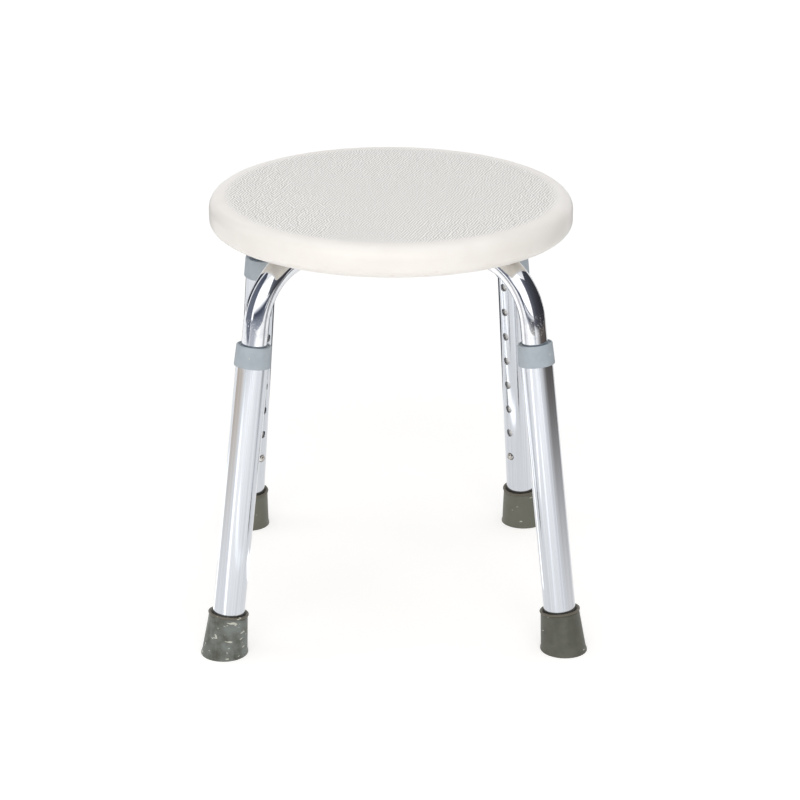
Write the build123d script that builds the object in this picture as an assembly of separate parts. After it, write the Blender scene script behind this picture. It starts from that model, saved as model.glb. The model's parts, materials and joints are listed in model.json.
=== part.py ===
from build123d import *
import math
import os

# Round shower stool: a hollow seat board on two crossed, bent tubes. Each tube end slides in a leg tube
# and is locked there by a spring button. The floor is z = 0, +X is to the right and +Y to the back.

# Seat board
seat_diameter = 320.0
seat_thickness = 27.0
seat_wall = 3.0
seat_top_round = 11.0
seat_bottom_round = 7.0
seat_channel_depth = 6.0
seat_channel_clearance = 0.2
blow_hole_diameter = 6.0
blow_hole_offset = 24.0

# Cross tubes: the inner tubes of the legs, bent over under the seat and pressed flat where they cross
tube_diameter = 22.0
tube_wall = 1.2
tube_corner_inset = 1.0
tube_bend_radius = 55.0
tube_neck = 13.4
tube_tail = 20.5
press_flat_clearance = 3.0
press_run_length = 29.0
front_splay = 8.5
rear_splay = 5.0
leg_azimuth = 45.0

# Leg tubes and their row of adjustment holes
leg_wall = 1.2
leg_head = 23.0
hole_diameter = 7.2
hole_pitch = 25.0
hole_count = 8
lowest_hole_height = 74.5

# Collars on the upper ends of the legs, each with a bush that guides the cross tube
collar_height = 18.8
collar_top_wall = 1.1
collar_bottom_wall = 1.8
collar_lip_height = 5.0
collar_lip_depth = 3.0
collar_lip_gap = 2.2
collar_lip_round = 0.8
collar_bottom_chamfer = 0.6
bush_wall = 1.4
bush_length = 16.0
slide_clearance = 0.3
seat_clearance = 0.1

# Rubber feet, each with a steel washer under the end of the leg
foot_height = 37.0
foot_sole = 7.0
foot_bottom_wall = 5.9
foot_top_wall = 3.0
foot_bead_height = 2.8
foot_bead_reach = 0.7
foot_bead_chamfer = 0.6
foot_lip_height = 1.2
foot_lip_reach = 0.5
washer_thickness = 1.5

# Tube guides: plugs on the lower ends of the cross tubes
guide_flange_thickness = 5.0
guide_bore_diameter = 10.0
guide_clip_gap = 4.5

# Snap clips: a bent spring strip with a button
button_clearance = 0.3
button_reach = 2.4
strip_width = 8.0
strip_thickness = 0.8
strip_length = 40.0
strip_tail = 5.0
strip_bend_radius = 3.0
strip_clearance = 0.3

# Bolts that hold the cross tubes to the seat
bolt_diameter = 6.0
bolt_head_diameter = 12.0
bolt_head_height = 3.8
bolt_head_round = 1.9
bolt_recess_width = 1.6
bolt_recess_length = 6.4
bolt_recess_depth = 2.0
bolt_hole_clearance = 0.3
bolt_washer_diameter = 16.0
bolt_washer_base = 2.0
bolt_tip_gap = 1.2
thread_clearance = 0.05
insert_diameter = 9.0
insert_cover = 8.8
boss_wall = 4.0

# Sections of the tubes, from the inside out
tube_radius = tube_diameter / 2
tube_bore_radius = tube_radius - tube_wall
bush_bore_radius = tube_radius + slide_clearance
bush_radius = bush_bore_radius + bush_wall
leg_bore_radius = bush_radius + seat_clearance
leg_radius = leg_bore_radius + leg_wall
button_radius = hole_diameter / 2 - button_clearance

# Heights along a leg, measured up its axis from the floor
tube_end_height = lowest_hole_height - tube_tail
leg_bottom_height = foot_sole + washer_thickness
leg_top_height = lowest_hole_height + (hole_count - 1) * hole_pitch + leg_head
collar_top_height = leg_top_height + collar_lip_height
guide_plug_length = tube_tail - strip_tail - guide_clip_gap


def bend_tangent(splay):
    # Length of the bend's tangent, from where the bend starts to the corner that it rounds
    return tube_bend_radius * math.tan(math.radians(90 - splay) / 2)


def axis_height(splay):
    # Height of the cross tube under the seat that leaves the neck clear above a leg's collar
    return (collar_top_height + tube_neck + bend_tangent(splay)) * math.cos(math.radians(splay))


# Heights above the floor and distances from the stool's axis
seat_radius = seat_diameter / 2
tube_axis_height = max(axis_height(front_splay), axis_height(rear_splay))
tube_corner_radius = seat_radius - tube_corner_inset
seat_bottom_z = tube_axis_height + tube_radius - seat_channel_depth
seat_top_z = seat_bottom_z + seat_thickness
channel_roof_z = tube_axis_height + tube_radius + seat_channel_clearance
insert_length = seat_top_z - insert_cover - channel_roof_z
bolt_head_seat_z = tube_axis_height - tube_radius - bolt_washer_base
bolt_tip_z = channel_roof_z + insert_length - bolt_tip_gap

# Pressed middle of the cross tubes: half as high, and wider by what the wall's length allows
pressed_height = tube_radius
pressed_width = pressed_height + math.pi * (tube_diameter - pressed_height) / 2
crossing = math.radians(2 * leg_azimuth)
crossing_reach = pressed_width / 2 * (1 + abs(math.cos(crossing))) / math.sin(crossing)
flat_half_length = crossing_reach + press_flat_clearance
press_end = flat_half_length + press_run_length

# The bolts on the arms stand midway along the straight runs
straight_end = tube_corner_radius - max(bend_tangent(front_splay), bend_tangent(rear_splay))
bolt_circle_radius = (press_end + straight_end) / 2

# Name, azimuth and splay of each leg, seen from above
legs = {
    "front_left": (180 + leg_azimuth, front_splay),
    "front_right": (360 - leg_azimuth, front_splay),
    "rear_right": (leg_azimuth, rear_splay),
    "rear_left": (180 - leg_azimuth, rear_splay),
}


def floor_radius(splay):
    # Distance from the stool's axis to where a leg's axis meets the floor
    return tube_corner_radius + tube_axis_height * math.tan(math.radians(splay))


def reach_in_y(splay):
    # How far the stool reaches to the front or the back: to a foot's edge or to the seat's
    foot_edge = leg_radius + foot_bottom_wall + foot_lip_reach
    return max(floor_radius(splay) * math.sin(math.radians(leg_azimuth)) + foot_edge, seat_radius)


# The origin is on the floor under the middle of the whole stool, so the seat's axis stands behind it
seat_axis_y = (reach_in_y(front_splay) - reach_in_y(rear_splay)) / 2


def arm_plane(azimuth):
    # Upright plane through the seat's axis: local x runs outwards, local y is up
    angle = math.radians(azimuth)
    outward = (math.cos(angle), math.sin(angle), 0)
    across = (math.sin(angle), -math.cos(angle), 0)
    return Plane(origin=(0, seat_axis_y, 0), x_dir=outward, z_dir=across)


def leg_plane(name):
    # Plane square to a leg where it meets the floor: local z runs up the leg, local x faces the seat's axis
    azimuth, splay = legs[name]
    lean = math.radians(splay)
    plane = arm_plane(azimuth)
    inward = plane.x_dir * -math.cos(lean) + plane.y_dir * -math.sin(lean)
    upward = plane.x_dir * -math.sin(lean) + plane.y_dir * math.cos(lean)
    return Plane(origin=plane.origin + plane.x_dir * floor_radius(splay), x_dir=inward, z_dir=upward)


def rod(radius, low, high):
    # Round bar about the local z axis, from low to high
    return Pos(0, 0, low) * extrude(Circle(radius), high - low)


def ring(outer_radius, inner_radius, low, high):
    # Tube about the local z axis, from low to high
    return Pos(0, 0, low) * extrude(Circle(outer_radius) - Circle(inner_radius), high - low)


def turned(points):
    # Solid turned about the local z axis from an outline in (radius, height)
    return revolve(Plane.XZ * make_face(Polyline(*points, close=True)), Axis.Z)


def side_hole(height):
    # Bore for the button, on the side of the leg that faces the seat's axis
    return Pos(0, 0, height) * Rot(0, 90, 0) * rod(hole_diameter / 2, 0, 2 * leg_radius)


def upright(point, solid):
    # Copy of a solid moved to a point of the plan
    return Pos(point.X, point.Y, 0) * solid


def bolt_places():
    # Centre bolt first, then one bolt on each arm
    planes = [arm_plane(azimuth) for azimuth, splay in legs.values()]
    return [planes[0].origin] + [plane.origin + plane.x_dir * bolt_circle_radius for plane in planes]


def seat_blank(inset):
    # Board of the seat's outline, drawn in by the wall for the hollow inside
    board = rod(seat_radius - inset, seat_bottom_z + inset, seat_top_z - inset)
    board = fillet(board.edges().sort_by(Axis.Z)[-1], seat_top_round - inset)
    board = fillet(board.edges().sort_by(Axis.Z)[0], seat_bottom_round - inset)
    return Pos(0, seat_axis_y, 0) * board


def groove_reach():
    # Distance from the seat's axis at which a bending tube drops clear of the seat's underside
    rise = seat_bottom_z - tube_axis_height + tube_bend_radius
    outer_bend = tube_bend_radius + tube_radius + seat_channel_clearance
    bend_start = tube_corner_radius - min(bend_tangent(front_splay), bend_tangent(rear_splay))
    return bend_start + math.sqrt(outer_bend**2 - rise**2)


def seat_channels(inset):
    # Underside grooves for the four arms and the round recess for the pressed middle
    cut = Pos(0, seat_axis_y, 0) * rod(press_end + inset, tube_axis_height, channel_roof_z + inset)
    groove = rod(tube_radius + seat_channel_clearance + inset, 0, groove_reach() + inset)
    for azimuth, splay in legs.values():
        cut = cut + Pos(0, seat_axis_y, tube_axis_height) * Rot(0, 0, azimuth) * Rot(0, 90, 0) * groove
    return cut


def make_seat():
    hollow = seat_blank(seat_wall) - seat_channels(seat_wall)
    boss = rod(insert_diameter / 2 + boss_wall, seat_bottom_z, seat_top_z)
    pocket = rod(insert_diameter / 2 + thread_clearance, tube_axis_height, channel_roof_z + insert_length)
    for point in bolt_places():
        hollow = hollow - upright(point, boss)
    seat = seat_blank(0) - hollow - seat_channels(0)
    for point in bolt_places():
        seat = seat - upright(point, pocket)
    blow_hole = rod(blow_hole_diameter / 2, tube_axis_height, seat_bottom_z + 2 * seat_wall)
    return seat - Pos(0, seat_axis_y + press_end + blow_hole_offset, 0) * blow_hole


def flattened_section(inset):
    # Section of the pressed middle: two flats and two rounded ends, seen along the tube
    high = pressed_height / 2 - inset
    wide = pressed_width / 2 - inset
    knee = wide - high
    top = Line((-knee, high), (knee, high))
    right = ThreePointArc((knee, high), (wide, 0), (knee, -high))
    bottom = Line((knee, -high), (-knee, -high))
    left = ThreePointArc((-knee, -high), (-wide, 0), (-knee, high))
    return make_face([top, right, bottom, left])


def round_section(inset):
    # The round tube's section in four arcs, so that it runs evenly into the flattened one
    radius = tube_radius - inset
    corners = [PolarLocations(radius, 4, 135, -360).locations[i].position for i in range(4)]
    middles = [PolarLocations(radius, 4, 90, -360).locations[i].position for i in range(4)]
    return make_face([ThreePointArc(corners[i], middles[i], corners[(i + 1) % 4]) for i in range(4)])


def pressed_middle(azimuth, side, inset):
    # Middle of a cross tube, squeezed into the half above (side 1) or below (side -1) its axis
    flat = Pos(0, side * pressed_height / 2, flat_half_length) * flattened_section(inset)
    run = loft([flat, Pos(0, 0, press_end) * round_section(inset)], ruled=True)
    body = extrude(flat, -2 * flat_half_length) + run + Rot(0, 180, 0) * run
    plane = arm_plane(azimuth)
    centre = plane.origin + plane.y_dir * tube_axis_height
    return Plane(origin=centre, x_dir=-plane.z_dir, z_dir=plane.x_dir) * body


def arm_solid(name, inset):
    # Round part of a cross tube: up the leg, round the bend and in to the pressed middle
    azimuth, splay = legs[name]
    low = (tube_end_height - inset) * math.cos(math.radians(splay))
    low_end = (floor_radius(splay) - low * math.tan(math.radians(splay)), low)
    corner = (tube_corner_radius, tube_axis_height)
    inner_end = (press_end, tube_axis_height)
    path = arm_plane(azimuth) * FilletPolyline(low_end, corner, inner_end, radius=tube_bend_radius)
    section = Plane(origin=path @ 0, z_dir=path % 0) * Circle(tube_radius - inset)
    return sweep(section, path=path)


def make_cross_tube(first, second, side):
    azimuth = legs[first][0]
    outer = pressed_middle(azimuth, side, 0)
    bore = pressed_middle(azimuth, side, tube_wall)
    for name in (first, second):
        outer = outer + arm_solid(name, 0)
        bore = bore + arm_solid(name, tube_wall)
    tube = outer - bore
    for name in (first, second):
        tube = tube - leg_plane(name) * side_hole(lowest_hole_height)
    drill = rod(bolt_diameter / 2 + bolt_hole_clearance, bolt_head_seat_z, seat_top_z)
    for point in bolt_places():
        if abs(arm_plane(azimuth).to_local_coords(point).Z) < tube_radius:
            tube = tube - upright(point, drill)
    return tube


def make_bolt():
    shank = rod(bolt_diameter / 2, bolt_head_seat_z, bolt_tip_z)
    head = rod(bolt_head_diameter / 2, bolt_head_seat_z - bolt_head_height, bolt_head_seat_z)
    head = fillet(head.edges().sort_by(Axis.Z)[0], bolt_head_round)
    slot = Box(bolt_recess_length, bolt_recess_width, 2 * bolt_recess_depth)
    cross = Pos(0, 0, bolt_head_seat_z - bolt_head_height) * (slot + Rot(0, 0, 90) * slot)
    return shank + head - cross


def make_saddle_washers():
    # Washers hollowed on top to sit on the round of the arms
    high = tube_axis_height - math.sqrt(tube_radius**2 - (bolt_washer_diameter / 2) ** 2)
    bore = bolt_diameter / 2 + bolt_hole_clearance
    blank = ring(bolt_washer_diameter / 2, bore, bolt_head_seat_z, high)
    washers = []
    for point, (azimuth, splay) in zip(bolt_places()[1:], legs.values()):
        arm = rod(tube_radius + thread_clearance, 0, tube_corner_radius)
        place = Pos(0, seat_axis_y, tube_axis_height) * Rot(0, 0, azimuth) * Rot(0, 90, 0)
        washers.append(upright(point, blank) - place * arm)
    return Compound(children=washers)


def make_centre_washer():
    bore = bolt_diameter / 2 + bolt_hole_clearance
    washer = ring(bolt_washer_diameter / 2, bore, bolt_head_seat_z, bolt_head_seat_z + bolt_washer_base)
    return upright(bolt_places()[0], washer)


def make_insert():
    bore = bolt_diameter / 2 + thread_clearance
    return ring(insert_diameter / 2, bore, channel_roof_z, channel_roof_z + insert_length)


def make_leg_tube(name):
    tube = ring(leg_radius, leg_bore_radius, leg_bottom_height, leg_top_height)
    for step in range(hole_count):
        tube = tube - side_hole(lowest_hole_height + step * hole_pitch)
    return leg_plane(name) * tube


def make_collar(name):
    # Cap over the end of the leg, with a thin lip above and the bush inside
    low = collar_top_height - collar_height
    cap_bore = leg_radius + seat_clearance
    lip_bore = tube_radius + collar_lip_gap
    lip_floor = collar_top_height - collar_lip_depth
    bush_low = leg_top_height - bush_length
    outline = [
        (cap_bore, low),
        (leg_radius + collar_bottom_wall - collar_bottom_chamfer, low),
        (leg_radius + collar_bottom_wall, low + collar_bottom_chamfer),
        (leg_radius + collar_top_wall, collar_top_height),
        (lip_bore, collar_top_height),
        (lip_bore, lip_floor),
        (bush_bore_radius, lip_floor),
        (bush_bore_radius, bush_low),
        (bush_radius, bush_low),
        (bush_radius, leg_top_height),
        (cap_bore, leg_top_height),
    ]
    collar = turned(outline)
    rim = collar.edges().filter_by(GeomType.CIRCLE).group_by(Axis.Z)[-1]
    return leg_plane(name) * fillet(rim, collar_lip_round)


def make_foot(name):
    # Tapered tip with a bead round its mouth, cut level at the floor, where a thin lip runs round it
    top_radius = leg_radius + foot_top_wall
    bead_radius = top_radius + foot_bead_reach
    bead_low = foot_height - foot_bead_height
    bore = leg_radius + seat_clearance
    taper = (foot_bottom_wall - foot_top_wall) / bead_low
    root_radius = leg_radius + foot_bottom_wall + taper * foot_sole
    outline = [
        (0, -foot_sole),
        (root_radius, -foot_sole),
        (top_radius, bead_low),
        (bead_radius, bead_low + foot_bead_chamfer),
        (bead_radius, foot_height - foot_bead_chamfer),
        (bead_radius - foot_bead_chamfer, foot_height),
        (bore, foot_height),
        (bore, foot_sole),
        (0, foot_sole),
    ]
    skirt = [
        (0, -foot_sole),
        (root_radius + foot_lip_reach, -foot_sole),
        (root_radius + foot_lip_reach - 2 * taper * foot_sole, foot_sole),
        (0, foot_sole),
    ]
    span = 4 * floor_radius(max(front_splay, rear_splay))
    room = Pos(0, 0, span / 2) * Box(span, span, span)
    lip_room = Pos(0, 0, foot_lip_height / 2) * Box(span, span, foot_lip_height)
    return (leg_plane(name) * turned(outline) & room) + (leg_plane(name) * turned(skirt) & lip_room)


def make_foot_washer(name):
    return leg_plane(name) * rod(leg_radius, foot_sole, leg_bottom_height)


def make_tube_guide(name):
    # Plug in the tube's end, with a flange that runs in the bore of the leg
    bore = guide_bore_diameter / 2
    plug = ring(tube_bore_radius - seat_clearance, bore, tube_end_height, tube_end_height + guide_plug_length)
    flange_low = tube_end_height - guide_flange_thickness
    flange = ring(leg_bore_radius - slide_clearance, bore, flange_low, tube_end_height)
    return leg_plane(name) * (plug + flange)


def make_snap_clip(name):
    # Strip bent to a narrow V inside the tube, with the button on the arm that faces the seat's axis
    face_x = math.sqrt((tube_bore_radius - strip_clearance) ** 2 - (strip_width / 2) ** 2)
    arm_x = face_x - strip_thickness / 2
    low = lowest_hole_height - strip_tail
    knee = lowest_hole_height + 2 * button_radius
    high = lowest_hole_height + strip_length
    route = [(arm_x, low), (arm_x, knee), (0, high), (-arm_x, knee), (-arm_x, low)]
    path = Plane.XZ * FilletPolyline(*route, radius=strip_bend_radius)
    section = Plane(origin=path @ 0, x_dir=(0, 1, 0), z_dir=path % 0)
    strip = sweep(section * Rectangle(strip_width, strip_thickness), path=path)
    button = rod(button_radius, arm_x, leg_radius + button_reach)
    button = fillet(button.edges().sort_by(Axis.Z)[-1], min(button_reach, button_radius - button_clearance))
    return leg_plane(name) * (strip + Pos(0, 0, lowest_hole_height) * Rot(0, 90, 0) * button)


os.makedirs("parts", exist_ok=True)
parts = {
    "seat": make_seat(),
    "cross_tube_upper": make_cross_tube("front_left", "rear_right", 1),
    "cross_tube_lower": make_cross_tube("front_right", "rear_left", -1),
    "seat_bolts": Compound(children=[upright(point, make_bolt()) for point in bolt_places()]),
    "seat_inserts": Compound(children=[upright(point, make_insert()) for point in bolt_places()]),
    "saddle_washers": make_saddle_washers(),
    "centre_washer": make_centre_washer(),
}
for corner in legs:
    parts["leg_tube_" + corner] = make_leg_tube(corner)
    parts["leg_collar_" + corner] = make_collar(corner)
    parts["foot_" + corner] = make_foot(corner)
    parts["foot_washer_" + corner] = make_foot_washer(corner)
    parts["tube_guide_" + corner] = make_tube_guide(corner)
    parts["snap_clip_" + corner] = make_snap_clip(corner)
for name, part in parts.items():
    export_step(part, os.path.join("parts", name + ".step"))
print("seat top at", round(seat_top_z, 2), "mm, seat axis at y =", round(seat_axis_y, 3), "mm")
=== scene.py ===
import bmesh
import bpy
import json
import math
from mathutils import Matrix, Vector
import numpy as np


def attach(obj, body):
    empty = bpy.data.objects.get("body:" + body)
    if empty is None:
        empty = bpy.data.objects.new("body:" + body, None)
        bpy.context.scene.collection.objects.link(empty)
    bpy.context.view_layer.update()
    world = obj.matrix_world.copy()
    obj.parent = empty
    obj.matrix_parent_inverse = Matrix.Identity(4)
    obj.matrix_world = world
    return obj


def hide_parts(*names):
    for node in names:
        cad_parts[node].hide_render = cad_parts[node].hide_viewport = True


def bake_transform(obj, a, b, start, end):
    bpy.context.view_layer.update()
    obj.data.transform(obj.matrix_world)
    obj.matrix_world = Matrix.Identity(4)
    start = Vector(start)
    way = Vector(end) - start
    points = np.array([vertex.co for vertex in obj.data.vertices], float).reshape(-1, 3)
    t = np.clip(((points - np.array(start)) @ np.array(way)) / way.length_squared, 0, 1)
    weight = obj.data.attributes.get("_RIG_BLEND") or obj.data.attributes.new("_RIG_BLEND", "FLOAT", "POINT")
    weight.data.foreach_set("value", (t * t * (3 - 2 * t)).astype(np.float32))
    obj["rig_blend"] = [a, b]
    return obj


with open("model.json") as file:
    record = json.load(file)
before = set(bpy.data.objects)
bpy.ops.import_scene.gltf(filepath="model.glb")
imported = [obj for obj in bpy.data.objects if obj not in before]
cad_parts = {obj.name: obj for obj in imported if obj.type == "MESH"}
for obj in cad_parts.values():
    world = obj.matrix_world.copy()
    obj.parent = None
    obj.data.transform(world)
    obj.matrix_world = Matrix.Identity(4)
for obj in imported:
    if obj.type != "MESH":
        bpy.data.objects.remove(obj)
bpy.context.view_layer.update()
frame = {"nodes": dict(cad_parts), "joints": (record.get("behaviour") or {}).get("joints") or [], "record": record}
nodes = frame["nodes"]
joints = {joint["name"]: joint for joint in frame["joints"]}
mounts = {mount["name"]: mount for mount in frame["record"]["mounts"]}
corners = ["front_left", "front_right", "rear_right", "rear_left"]
seatTop = Vector(mounts["seat_top"]["pos_m"])  # middle of the seat's flat top
mm = 0.001
legApart = 0.37  # metres between the patterns of two legs, so that no two are marked alike
print("frame loaded,", len(nodes), "nodes")


def legPlace(corner):  # z runs up the leg from the floor, x faces the seat's axis
    upLeg = -Vector(joints["leg_slide_" + corner]["axis"])
    inward = -Vector(joints["button_press_" + corner]["axis"])
    place = Matrix((inward, upLeg.cross(inward), upLeg)).transposed().to_4x4()
    place.translation = Vector(mounts["sole_" + corner]["pos_m"])
    return place


# finishes

def linear(hexColour):  # sRGB hex to the linear colour that the shaders take
    channels = [int(hexColour[i:i + 2], 16) / 255 for i in (1, 3, 5)]
    return [c / 12.92 if c <= 0.04045 else ((c + 0.055) / 1.055) ** 2.4 for c in channels] + [1.0]


def addNode(tree, kind, settings, links=()):
    node = tree.nodes.new(kind)
    for key, value in settings.items():
        if isinstance(key, int) or key in node.inputs.keys():
            node.inputs[key].default_value = value
        else:
            setattr(node, key, value)
    for socket, source in links:
        tree.links.new(source, node.inputs[socket])
    return node


def newFinish(name, settings):
    finish = bpy.data.materials.new(name)
    finish.use_nodes = True
    shader = finish.node_tree.nodes["Principled BSDF"]
    for key, value in settings.items():
        shader.inputs[key].default_value = value
    return finish, finish.node_tree, shader


seatFinish = {
    "shadedValley": "#C4C2BE",     # painted shade between the grains
    "crest": "#FFFEFC",
    "rim": "#F3F0EC",        # smooth moulded edge, a little warmer
    "cloudy": "#ECE8E3",
    "under": "#F3EADB",      # painted warm light on the underside, as if bounced up from the floor
    "scuff": "#DDCBC0",      # rubbed marks low on the edge
    "spacing": 2.45,         # from one line of the grain to the next, in mm
    "stray": (12.0, 5.0),    # length along and across the lines over which they waver
    "waver": 3.3,            # how far they do, in radians of a line
    "patch": 6.0,            # size of the patches that run one way
    "patchEdge": (0.5, 0.64),
    "turns": (70, 110),      # degrees from the stool's right to the two ways that the grain runs
    "depth": 0.05,           # height of the grain in mm
    "fieldRadius": 150.0,    # the grain fades out where the edge starts to roll over
    "fade": 12.0,
    "topZone": (-1.0, -0.4),      # heights from the top, in mm, where the grain comes in
    "underZone": (-25.5, -26.8),  # and where the painted underside light starts
    "scuffZone": (-17.0, -22.0),
    "scuffShare": 0.5,
    "smear": (9.0909, 9.0909, 1.1111),  # size of a rubbed mark in mm
    "smearEdge": (0.58, 0.72),
    "cloud": 45.4545,        # mm
    "cloudEdge": (0.35, 0.75),
    "cloudLift": 1.5,        # the moulding is wavy by this many heights of the grain
    "sheen": (0.34, 0.55),   # roughness of the rim and of the grain
}


def makeSeatFinish():  # blow-moulded polyethylene: soft sheen, fine crossed grain on top with painted shade in its valleys and a painted highlight on its crests, smooth waxy rim
    s = seatFinish
    finish, tree, shader = newFinish("moulded_polyethylene", {"IOR": 1.5, "Specular IOR Level": 0.4})
    where = addNode(tree, "ShaderNodeTexCoord", {}).outputs["Object"]
    centred = addNode(tree, "ShaderNodeMapping", {"Location": -seatTop}, [("Vector", where)])
    split = addNode(tree, "ShaderNodeSeparateXYZ", {}, [("Vector", centred.outputs["Vector"])])
    plan = addNode(tree, "ShaderNodeCombineXYZ", {}, [("X", split.outputs["X"]), ("Y", split.outputs["Y"])])
    radius = addNode(tree, "ShaderNodeVectorMath", {"operation": "LENGTH"}, [(0, plan.outputs["Vector"])])
    inField = addNode(tree, "ShaderNodeMapRange", {
        "interpolation_type": "SMOOTHSTEP",
        "From Min": s["fieldRadius"] * mm, "From Max": (s["fieldRadius"] - s["fade"]) * mm,
    }, [("Value", radius.outputs["Value"])])
    onTop = addNode(tree, "ShaderNodeMapRange", {
        "From Min": s["topZone"][0] * mm, "From Max": s["topZone"][1] * mm,
    }, [("Value", split.outputs["Z"])])
    grained = addNode(tree, "ShaderNodeMath", {"operation": "MULTIPLY"}, [
        (0, inField.outputs["Result"]), (1, onTop.outputs["Result"])])
    lines = []
    scale = s["spacing"] * 20 / math.tau  # the wave texture runs 20 radians to the unit
    for turn in s["turns"]:
        along = addNode(tree, "ShaderNodeMapping", {
            "vector_type": "TEXTURE", "Rotation": (0, 0, math.radians(turn)),
            "Scale": (scale * s["stray"][0] / s["stray"][1] * mm, scale * mm, 1),
        }, [("Vector", plan.outputs["Vector"])])
        wave = addNode(tree, "ShaderNodeTexWave", {
            "bands_direction": "Y", "Scale": 1.0, "Distortion": s["waver"], "Detail": 1.0,
            "Detail Scale": scale / s["stray"][1],
        }, [("Vector", along.outputs["Vector"])])
        lines.append(wave.outputs["Fac"])
    patch = addNode(tree, "ShaderNodeTexNoise", {"Scale": 1 / (s["patch"] * mm), "Detail": 0.0}, [
        ("Vector", plan.outputs["Vector"])])
    way = addNode(tree, "ShaderNodeMapRange", {
        "From Min": s["patchEdge"][0], "From Max": s["patchEdge"][1],
    }, [("Value", patch.outputs["Fac"])])
    # the crossed lines pick between painted shade in the valleys and a painted highlight on the near-white crests
    crest = addNode(tree, "ShaderNodeMix", {}, [(0, way.outputs["Result"]), (2, lines[0]), (3, lines[1])])
    grain = addNode(tree, "ShaderNodeMix", {
        "data_type": "RGBA", 6: linear(s["shadedValley"]), 7: linear(s["crest"]),
    }, [(0, crest.outputs[0])])
    cloud = addNode(tree, "ShaderNodeTexNoise", {"Scale": 1 / (s["cloud"] * mm), "Detail": 3.0}, [
        ("Vector", where)])
    shade = addNode(tree, "ShaderNodeMapRange", {
        "From Min": s["cloudEdge"][0], "From Max": s["cloudEdge"][1],
    }, [("Value", cloud.outputs["Fac"])])
    rim = addNode(tree, "ShaderNodeMix", {
        "data_type": "RGBA", 6: linear(s["rim"]), 7: linear(s["cloudy"]),
    }, [(0, shade.outputs["Result"])])
    low = addNode(tree, "ShaderNodeMapRange", {
        "From Min": s["scuffZone"][0] * mm, "From Max": s["scuffZone"][1] * mm, "To Max": s["scuffShare"],
    }, [("Value", split.outputs["Z"])])
    smear = addNode(tree, "ShaderNodeMapping", {"Scale": [1 / (size * mm) for size in s["smear"]]}, [
        ("Vector", where)])
    rubbing = addNode(tree, "ShaderNodeTexNoise", {"Scale": 1.0, "Detail": 4.0}, [
        ("Vector", smear.outputs["Vector"])])
    rubbed = addNode(tree, "ShaderNodeMapRange", {
        "From Min": s["smearEdge"][0], "From Max": s["smearEdge"][1],
    }, [("Value", rubbing.outputs["Fac"])])
    scuffed = addNode(tree, "ShaderNodeMath", {"operation": "MULTIPLY"}, [
        (0, low.outputs["Result"]), (1, rubbed.outputs["Result"])])
    edge = addNode(tree, "ShaderNodeMix", {"data_type": "RGBA", 7: linear(s["scuff"])}, [
        (0, scuffed.outputs["Value"]), (6, rim.outputs[2])])
    # painted warm light over the underside, below the rim
    below = addNode(tree, "ShaderNodeMapRange", {
        "From Min": s["underZone"][0] * mm, "From Max": s["underZone"][1] * mm,
    }, [("Value", split.outputs["Z"])])
    rimWithUnderLight = addNode(tree, "ShaderNodeMix", {"data_type": "RGBA", 7: linear(s["under"])}, [
        (0, below.outputs["Result"]), (6, edge.outputs[2])])
    colour = addNode(tree, "ShaderNodeMix", {"data_type": "RGBA"}, [
        (0, grained.outputs["Value"]), (6, rimWithUnderLight.outputs[2]), (7, grain.outputs[2])])
    tree.links.new(colour.outputs[2], shader.inputs["Base Color"])
    rough = addNode(tree, "ShaderNodeMapRange", {"To Min": s["sheen"][0], "To Max": s["sheen"][1]}, [
        ("Value", grained.outputs["Value"])])
    tree.links.new(rough.outputs["Result"], shader.inputs["Roughness"])
    lift = addNode(tree, "ShaderNodeMath", {"operation": "MULTIPLY"}, [
        (0, grained.outputs["Value"]), (1, crest.outputs[0])])
    height = addNode(tree, "ShaderNodeMath", {"operation": "MULTIPLY_ADD", 1: s["cloudLift"]}, [
        (0, cloud.outputs["Fac"]), (2, lift.outputs["Value"])])
    bump = addNode(tree, "ShaderNodeBump", {"Strength": 1.0, "Distance": s["depth"] * mm}, [
        ("Height", height.outputs["Value"])])
    tree.links.new(bump.outputs["Normal"], shader.inputs["Normal"])
    return finish


tubeFinish = {
    "clean": "#E6E8EC",
    "hazy": "#D6D9DF",
    "spot": "#F4F3F0",
    "polish": (0.05, 0.12),   # roughness of the clean and the hazy patches
    "patch": 9.0,             # mm
    "patchEdge": (0.4, 0.7),
    "waver": 17.0,            # slow ripple left by the bending, in mm
    "waverDepth": 0.05,
    "spotSize": 0.8,          # dried water spots at the foot of the bend
    "spotEdge": (0.62, 0.7),
    "spotZone": (280.0, 286.0, 296.0, 304.0),  # heights between which they come and go
    "worn": (270.0, 245.0),   # heights between which the rubbing of the bush starts to show
    "wornRough": 0.24,
    "spotRough": 0.5,
    "holeLight": "#FBFBFA",        # painted highlight: pale and matte, on the tube behind the holes in the leg
    "holeLightSpot": (0.85, 6.4),  # half the width of a spot, as a turn round the tube, and half its height in mm
    "holeLightEdge": (1.0, 0.45),  # where a spot ends, and where it is full
    "holeLow": 73.0,          # height of the lowest hole, and the rise from one to the next
    "holeRise": 24.87,
}


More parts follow.
